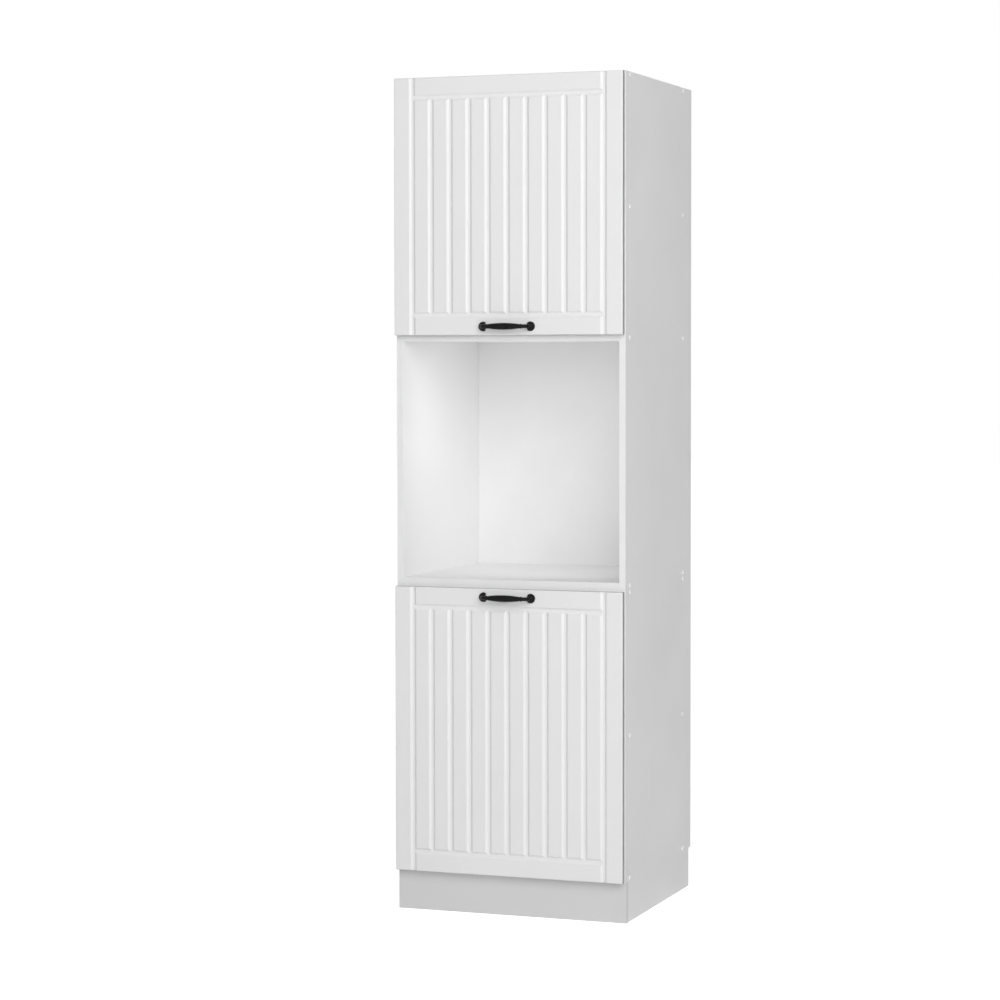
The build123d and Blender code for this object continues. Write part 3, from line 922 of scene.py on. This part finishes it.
def bore_door(door, room):
    """Seats of the hinge cups, pilot holes of their screws and the handle's two holes."""
    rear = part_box(f"{room}_door")[1].y
    handle_low, handle_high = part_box(f"{room}_handle_screws")
    handle_z = (handle_low.z + handle_high.z) / 2
    bores = [((side * HANDLE_CENTRES / 2, rear, handle_z), *HANDLE_BORE) for side in (-1, 1)]
    for end in ENDS:
        low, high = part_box(f"{room}_hinge_cup_{end}")
        z = (low.z + high.z) / 2
        bores.append(((CUP_X, rear, z), *CUP_SEAT))
        bores += [((CUP_X + PILOT_FROM_CUP, rear, z + step), *PILOT_BORE) for step in PILOT_SIDES]
    for place, radius, depth in bores:
        bpy.ops.mesh.primitive_cylinder_add(
            vertices=64 if radius == CUP_SEAT[0] else 24,
            radius=radius,
            depth=2 * depth,
            location=place,
            rotation=(math.pi / 2, 0.0, 0.0),
        )
        bore = new_piece("bore")
        settle(bore)
        cut_away(door, bore)


def cut_away(piece, cutter):
    """Takes the cutter's form out of the piece, and removes the cutter."""
    apply_modifier(piece, "BOOLEAN", operation="DIFFERENCE", object=cutter, solver="EXACT")
    bpy.data.objects.remove(cutter)


def door_face(face, low, high):
    """0 for the film, 1 for the narrow sides, which carry the grey of painted gap shade, 2 for the wall
    of a bore.
    """
    place, normal = face.center, face.normal
    if place.y < low.y + FILM_WRAP and abs(normal.y) > 0.1:
        return 0
    if abs(normal.y) > 0.3:
        return 0 if place.y > high.y - 1 * MM else 2
    rim = min(place.x - low.x, high.x - place.x, place.z - low.z, high.z - place.z)
    return 1 if rim < 1 * MM else 2


class CastHandles(bpy.types.Operator):
    """Bow handles with a barrel grip, collars and half-ball feet, cast in one and powder coated"""

    bl_idname = "cabinet.cast_handles"
    bl_label = "Cast handles"

    def execute(self, context):
        first = bow_handle("first_handle", context.scene.cabinet_sizes.cast_grain)
        for room in ROOMS:
            node = f"{room}_handle"
            low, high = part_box(node)
            handle = copy_piece(first, f"{room}_handle_cast", (0.0, 0.0, (low.z + high.z) / 2))
            finish_faces(handle, ("powder_coat",))
            stand_for(handle, node)
        bpy.data.objects.remove(first)
        return {"FINISHED"}


def bow_handle(name, grain):
    """A handle on the door's face at height zero."""
    handle = grip_and_neck(name)
    join([handle, half_ball_foot()])
    apply_modifier(handle, "MIRROR", use_axis=(True, False, False), merge_threshold=0.05 * MM)
    outward(handle)
    apply_modifier(handle, "REMESH", mode="VOXEL", voxel_size=grain)
    apply_modifier(handle, "SMOOTH", factor=0.5, iterations=4)
    cut_flat(handle, (0.0, door_front, 0.0), (0.0, 1.0, 0.0))
    for side in (-1, 1):
        place = (side * HANDLE_CENTRES / 2, door_front, 0.0)
        bpy.ops.mesh.primitive_cylinder_add(
            vertices=32,
            radius=HANDLE_SCREW_RADIUS,
            depth=HANDLE_SCREW_DEPTH,
            location=place,
            rotation=(math.pi / 2, 0.0, 0.0),
        )
        cut_away(handle, new_piece("bore"))
    smooth(handle, 50)
    return handle


def turned(name, stations, line_y, vertices=48):
    """A tube turned about a line along x at height zero: stations give x and radius."""
    x, radius = stations[0]
    bpy.ops.mesh.primitive_circle_add(
        vertices=vertices, radius=radius, location=(x, line_y, 0.0), rotation=(0.0, math.pi / 2, 0.0)
    )
    tube = new_piece(name)
    settle(tube)
    bpy.ops.object.mode_set(mode="EDIT")
    bpy.ops.mesh.select_all(action="SELECT")
    for next_x, next_radius in stations[1:]:
        bpy.ops.mesh.extrude_region_move(TRANSFORM_OT_translate={"value": (next_x - x, 0.0, 0.0)})
        ratio = next_radius / radius
        bpy.ops.transform.resize(value=(1.0, ratio, ratio), center_override=(next_x, line_y, 0.0))
        x, radius = next_x, next_radius
    return tube


def grip_stations():
    """From the middle of the grip over the collar to the neck: x and radius."""
    rise = GRIP_RADIUS - GRIP_END_RADIUS
    arc = (GRIP_HALF**2 + rise**2) / (2 * rise)
    along = [GRIP_HALF * step / GRIP_STEPS for step in range(GRIP_STEPS + 1)]
    barrel = [(x, GRIP_RADIUS - arc + math.sqrt(arc**2 - x**2)) for x in along]
    return barrel + [(GRIP_HALF + x * MM, radius * MM) for x, radius in COLLAR]


def grip_and_neck(name):
    """Half of the grip, from its middle to the end of the bent neck inside the foot."""
    line = door_front - HANDLE_STANDOFF
    stations = grip_stations()
    grip = turned(name, stations, line)
    bend = (stations[-1][0], line + NECK_BEND, 0.0)
    bpy.ops.mesh.spin(steps=14, angle=-math.pi / 2, center=bend, axis=(0.0, 0.0, 1.0))
    rest = HANDLE_STANDOFF - NECK_BEND - NECK_SHORT_OF_DOOR
    bpy.ops.mesh.extrude_region_move(TRANSFORM_OT_translate={"value": (0.0, rest, 0.0)})
    bpy.ops.mesh.edge_face_add()
    bpy.ops.object.mode_set(mode="OBJECT")
    return grip


def half_ball_foot():
    """A ball cut behind the door's face and, towards the grip, by an upright flat."""
    bpy.ops.mesh.primitive_uv_sphere_add(
        segments=64, ring_count=48, radius=FOOT_RADIUS, location=(FOOT_X, door_front, 0.0)
    )
    foot = new_piece("foot")
    settle(foot)
    cut_flat(foot, (0.0, door_front + FOOT_IN_DOOR, 0.0), (0.0, 1.0, 0.0))
    cut_flat(foot, (FOOT_X - FOOT_CUT, 0.0, 0.0), (-1.0, 0.0, 0.0))
    return foot


def cut_flat(piece, place, normal):
    """Takes away what lies in front of a plane, and closes the cut."""
    make_active(piece)
    bpy.ops.object.mode_set(mode="EDIT")
    bpy.ops.mesh.select_all(action="SELECT")
    bpy.ops.mesh.bisect(plane_co=place, plane_no=normal, use_fill=True, clear_outer=True)
    bpy.ops.object.mode_set(mode="OBJECT")


def outward(piece):
    """Merges doubles and turns all faces outwards."""
    make_active(piece)
    bpy.ops.object.mode_set(mode="EDIT")
    bpy.ops.mesh.select_all(action="SELECT")
    bpy.ops.mesh.remove_doubles(threshold=0.02 * MM)
    bpy.ops.mesh.normals_make_consistent(inside=False)
    bpy.ops.object.mode_set(mode="OBJECT")


def copy_piece(piece, name, place, turn=0.0):
    """A copy with its own mesh, turned about the upright axis and moved."""
    make_active(piece)
    bpy.ops.object.duplicate()
    copy = bpy.context.object
    copy.name = name
    copy.rotation_euler.z = turn
    copy.location = place
    settle(copy)
    return copy


def join(pieces):
    deselect_all()
    for piece in pieces:
        piece.select_set(True)
    bpy.context.view_layer.objects.active = pieces[0]
    bpy.ops.object.join()
    return pieces[0]


class DomeCaps(bpy.types.Operator):
    """Domed white caps over the carcass screws, turned once and copied to all their places"""

    bl_idname = "cabinet.dome_caps"
    bl_label = "Dome caps"

    def execute(self, context):
        first = domed_cap("first_cap")
        for room in ROOMS:
            node = f"{room}_screw_caps"
            name = f"{room}_caps_domed"
            caps = join([copy_piece(first, name, (0.0, y, z), turn) for turn, y, z in cap_places(node)])
            # The caps' extra white is partly a painted highlight
            finish_faces(caps, ("cap_plastic_and_highlight",))
            stand_for(caps, node)
        bpy.data.objects.remove(first)
        return {"FINISHED"}


def domed_cap(name):
    """A cap on the right-hand wall, with a peg behind it, at height zero."""
    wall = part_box("upper_side_right")[1].x
    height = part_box("upper_screw_caps")[1].x - wall
    rim = CAP_RIM * height
    peg = [(wall - CAP_PEG_LENGTH, CAP_PEG_RADIUS), (wall, CAP_PEG_RADIUS)]
    skirt = [(wall, CAP_RADIUS - ON_LINE), (wall + 0.6 * rim, CAP_RADIUS)]
    dome = [
        (wall + rim + (height - rim) * (1 - part**CAP_FULLNESS), CAP_RADIUS * part)
        for part in CAP_STATIONS
    ]
    cap = turned(name, peg + skirt + dome, 0.0, 40)
    bpy.ops.mesh.edge_face_add()
    select_points(cap, lambda point: point.x < wall - CAP_PEG_LENGTH + ON_LINE)
    bpy.ops.mesh.edge_face_add()
    bpy.ops.object.mode_set(mode="OBJECT")
    outward(cap)
    smooth(cap, 40)
    return cap


def cap_places(node):
    """Where the caps of a CAD node sit: the turn about the upright axis, y and z."""
    corners = [vertex.co for vertex in frame["nodes"][node].data.vertices]
    crown = max(corner.x for corner in corners) - 0.05 * MM
    crowds = {}
    for corner in corners:
        if abs(corner.x) > crown:
            cell = (corner.x < 0, round(corner.y / CAP_CELL), round(corner.z / CAP_CELL))
            known = next((other for other in crowds if beside(other, cell)), cell)
            crowds.setdefault(known, []).append(corner)
    places = []
    for cell in sorted(crowds):
        turn = math.pi if cell[0] else 0.0
        y, z = (middle([corner[axis] for corner in crowds[cell]]) for axis in (1, 2))
        places.append((turn, y, z))
    return places


def beside(cell, other):
    """Whether two cells of the same side are the same one or neighbours."""
    return cell[0] == other[0] and abs(cell[1] - other[1]) < 2 and abs(cell[2] - other[2]) < 2


def middle(values):
    return (min(values) + max(values)) / 2


class SinkDrives(bpy.types.Operator):
    """Cross recesses in the heads of the small screws"""

    bl_idname = "cabinet.sink_drives"
    bl_label = "Sink drives"

    def execute(self, context):
        for node in DRIVEN:
            screws = copy_of_node(node, node + "_driven")
            heads = screw_heads(screws)
            for quarter in (0.0, math.pi / 2):
                blades = [drive_blade(*head, quarter + index) for index, head in enumerate(heads)]
                cut_away(screws, join(blades))
            smooth(screws)
            finish_faces(screws, ("nickel",))
            stand_for(screws, node)
        return {"FINISHED"}


def screw_heads(screws):
    """For each screw: the middle of its head's face, the way it faces, and its head's radius."""
    heads = []
    for points in islands(screws):
        low = Vector([min(point[i] for point in points) for i in range(3)])
        high = Vector([max(point[i] for point in points) for i in range(3)])
        centre = (low + high) / 2
        axis = max(range(3), key=lambda i: high[i] - low[i])
        across = (axis + 1) % 3
        widest = max(points, key=lambda point: abs(point[across] - centre[across]))
        facing = Vector((0.0, 0.0, 0.0))
        facing[axis] = 1.0 if widest[axis] > centre[axis] else -1.0
        face = centre + facing * (high[axis] - low[axis]) / 2
        heads.append((face, facing, (high[across] - low[across]) / 2))
    return heads


def islands(piece):
    """The corner points of each loose part of a piece."""
    mesh = bmesh.new()
    mesh.from_mesh(piece.data)
    left, found = set(mesh.verts), []
    while left:
        queue, points = [left.pop()], []
        while queue:
            vertex = queue.pop()
            points.append(vertex.co.copy())
            others = {edge.other_vert(vertex) for edge in vertex.link_edges} & left
            left -= others
            queue.extend(others)
        found.append(points)
    mesh.free()
    return found


def drive_blade(place, facing, radius, turn):
    """One arm of a cross recess, narrower at its bottom in the head."""
    bpy.ops.mesh.primitive_cube_add(size=1.0, scale=(BLADE_LENGTH * radius, BLADE_WIDTH * radius, radius))
    blade = new_piece("blade")
    settle(blade)
    bpy.ops.object.mode_set(mode="EDIT")
    select_points(blade, lambda point: point.z < 0)
    bpy.ops.transform.resize(value=BLADE_TAPER, center_override=(0.0, 0.0, 0.0))
    bpy.ops.object.mode_set(mode="OBJECT")
    aim = facing.to_track_quat("Z", "Y").to_matrix().to_4x4() @ Matrix.Rotation(turn, 4, "Z")
    blade.matrix_world = Matrix.Translation(place) @ aim
    settle(blade)
    return blade


class EaseSteel(bpy.types.Operator):
    """Hinge arms, mounting plates and brackets with the soft edges that pressing and plating leave"""

    bl_idname = "cabinet.ease_steel"
    bl_label = "Ease steel parts"

    def execute(self, context):
        for node in PRESSED:
            part = copy_of_node(node, node + "_eased")
            round_arrises(part, LIGHT_ARRIS, SHORTEST_STEEL_ARRIS, segments=2)
            smooth_arrises(part)
            finish_faces(part, ("nickel",))
            stand_for(part, node)
        return {"FINISHED"}


class DressFittings(bpy.types.Operator):
    """Gives the hinge cups, pins and springs, the panel screws and the bumpers their finishes"""

    bl_idname = "cabinet.dress_fittings"
    bl_label = "Dress fittings"

    def execute(self, context):
        by_slot = {"plated_steel": "nickel", "bumper": "bumper_gel"}
        for node in frame["nodes"].values():
            if node.hide_render:
                continue
            for holder in node.material_slots:
                slot_name = holder.material.name.split(".")[0]
                holder.material = finishes[by_slot[slot_name]]
        return {"FINISHED"}


class SetStage(bpy.types.Operator):
    """Floor, lamps, world and camera"""

    bl_idname = "cabinet.set_stage"
    bl_label = "Set stage"

    def execute(self, context):
        add_floor()
        add_lamps(context.scene.cabinet_sizes.light_level)
        add_world()
        add_camera()
        context.scene.view_settings.view_transform = "Standard"
        return {"FINISHED"}


def seen_by_camera(tree):
    """1 for rays of the camera and those that it sees in shine or through clear matter, else 0."""
    rays = tree.nodes.new("ShaderNodeLightPath")
    seen = math_node(tree, "MAXIMUM", rays.outputs["Is Camera Ray"], rays.outputs["Is Glossy Ray"])
    return math_node(tree, "MAXIMUM", seen, rays.outputs["Is Transmission Ray"])


def add_floor():
    bpy.ops.mesh.primitive_plane_add(size=FLOOR_SIZE, location=(0.0, 0.0, 0.0))
    floor = new_piece("floor")
    material = bpy.data.materials.new("Pale floor")
    material.use_nodes = True
    tree = material.node_tree
    shader = tree.nodes["Principled BSDF"]
    shader.inputs["Base Color"].default_value = (0.85, 0.85, 0.85, 1.0)
    shader.inputs["Roughness"].default_value = 0.9
    lift = math_node(tree, "MULTIPLY", seen_by_camera(tree), FLOOR_LIFT)
    shader.inputs["Emission Color"].default_value = (1.0, 1.0, 1.0, 1.0)
    tree.links.new(lift, shader.inputs["Emission Strength"])
    floor.data.materials.append(material)


def add_lamp(name, place, aim, size, power):
    bpy.ops.object.light_add(type="AREA", location=place)
    lamp = bpy.context.object
    lamp.name = name
    lamp.data.shape = "SQUARE"
    lamp.data.size = size
    lamp.data.energy = power
    lamp.rotation_euler = (Vector(aim) - Vector(place)).to_track_quat("-Z", "Y").to_euler()


def add_lamps(level):
    """A large soft key lamp in front on the right, and a faint one that opens up the niche."""
    niche = (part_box("oven_shelf")[1].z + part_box("niche_top_panel")[0].z) / 2
    bearing, rise = math.radians(KEY_BEARING), math.radians(KEY_RISE)
    level_way = Vector((math.sin(bearing), -math.cos(bearing), 0.0)) * math.cos(rise)
    place = (level_way + Vector((0.0, 0.0, math.sin(rise)))) * KEY_REACH
    place.z += MID_HEIGHT
    add_lamp("key_lamp", place, KEY_AIM, KEY_SIZE, KEY_POWER * level)
    place = (NICHE_LAMP_X, door_front + NICHE_LAMP_BEHIND, niche + NICHE_LAMP_UP)
    aim = (*NICHE_AIM, niche + NICHE_AIM_UP)
    add_lamp("niche_lamp", place, aim, NICHE_LAMP_SIZE, NICHE_LAMP_POWER * level)


def add_world():
    world = bpy.data.worlds.new("Studio")
    bpy.context.scene.world = world
    world.use_nodes = True
    tree = world.node_tree
    background = tree.nodes["Background"]
    background.inputs["Color"].default_value = (1.0, 1.0, 1.0, 1.0)
    strength = tree.nodes.new("ShaderNodeMapRange")
    tree.links.new(seen_by_camera(tree), strength.inputs["Value"])
    strength.inputs["To Min"].default_value = WORLD_FILL
    strength.inputs["To Max"].default_value = WORLD_SEEN
    tree.links.new(strength.outputs[0], background.inputs["Strength"])


def add_camera():
    """Camera at the photograph's angle. Its turn is yaw about the vertical, pitch, then roll."""
    bpy.ops.object.camera_add(location=(CAMERA_X, cabinet_front - CAMERA_AHEAD, CAMERA_HEIGHT))
    camera = bpy.context.object
    camera.name = "camera"
    yaw = Matrix.Rotation(math.radians(CAMERA_YAW), 4, "Z")
    pitch = Matrix.Rotation(math.pi / 2 + math.radians(CAMERA_PITCH), 4, "X")
    roll = Matrix.Rotation(math.radians(CAMERA_ROLL), 4, "Z")
    camera.rotation_euler = (yaw @ pitch @ roll).to_euler()
    camera.data.sensor_width = CAMERA_SENSOR
    camera.data.lens = CAMERA_FOCUS * CAMERA_SENSOR
    camera.data.shift_y = CAMERA_SHIFT
    camera.data.clip_end = 100.0
    bpy.context.scene.camera = camera


class CabinetPanel(bpy.types.Panel):
    """Lists the steps that dress the cabinet"""

    bl_idname = "VIEW3D_PT_oven_housing_cabinet"
    bl_label = "Oven housing cabinet"
    bl_space_type = "VIEW_3D"
    bl_region_type = "UI"
    bl_category = "Cabinet"

    def draw(self, context):
        for group in (context.scene.cabinet_sizes, context.scene.cabinet_colours):
            for key in group.bl_rna.properties.keys():
                if key not in ("rna_type", "name"):
                    self.layout.prop(group, key)
        for operator in OPERATORS:
            self.layout.operator(operator.bl_idname)


OPERATORS = (
    MakeFinishes,
    EaseBoards,
    DressBacks,
    MillDoors,
    CastHandles,
    DomeCaps,
    SinkDrives,
    EaseSteel,
    DressFittings,
    SetStage,
)
CLASSES = (CabinetSizes, CabinetColours, *OPERATORS, CabinetPanel)


def register():
    for known in CLASSES:
        bpy.utils.register_class(known)
    bpy.types.Scene.cabinet_sizes = bpy.props.PointerProperty(type=CabinetSizes)
    bpy.types.Scene.cabinet_colours = bpy.props.PointerProperty(type=CabinetColours)


def unregister():
    del bpy.types.Scene.cabinet_colours
    del bpy.types.Scene.cabinet_sizes
    for known in reversed(CLASSES):
        bpy.utils.unregister_class(known)


def main():
    register()
    bpy.ops.cabinet.make_finishes()
    bpy.ops.cabinet.ease_boards()
    bpy.ops.cabinet.dress_backs()
    bpy.ops.cabinet.mill_doors()
    bpy.ops.cabinet.cast_handles()
    bpy.ops.cabinet.dome_caps()
    bpy.ops.cabinet.sink_drives()
    bpy.ops.cabinet.ease_steel()
    bpy.ops.cabinet.dress_fittings()
    bpy.ops.cabinet.set_stage()


if __name__ == "__main__":
    main()
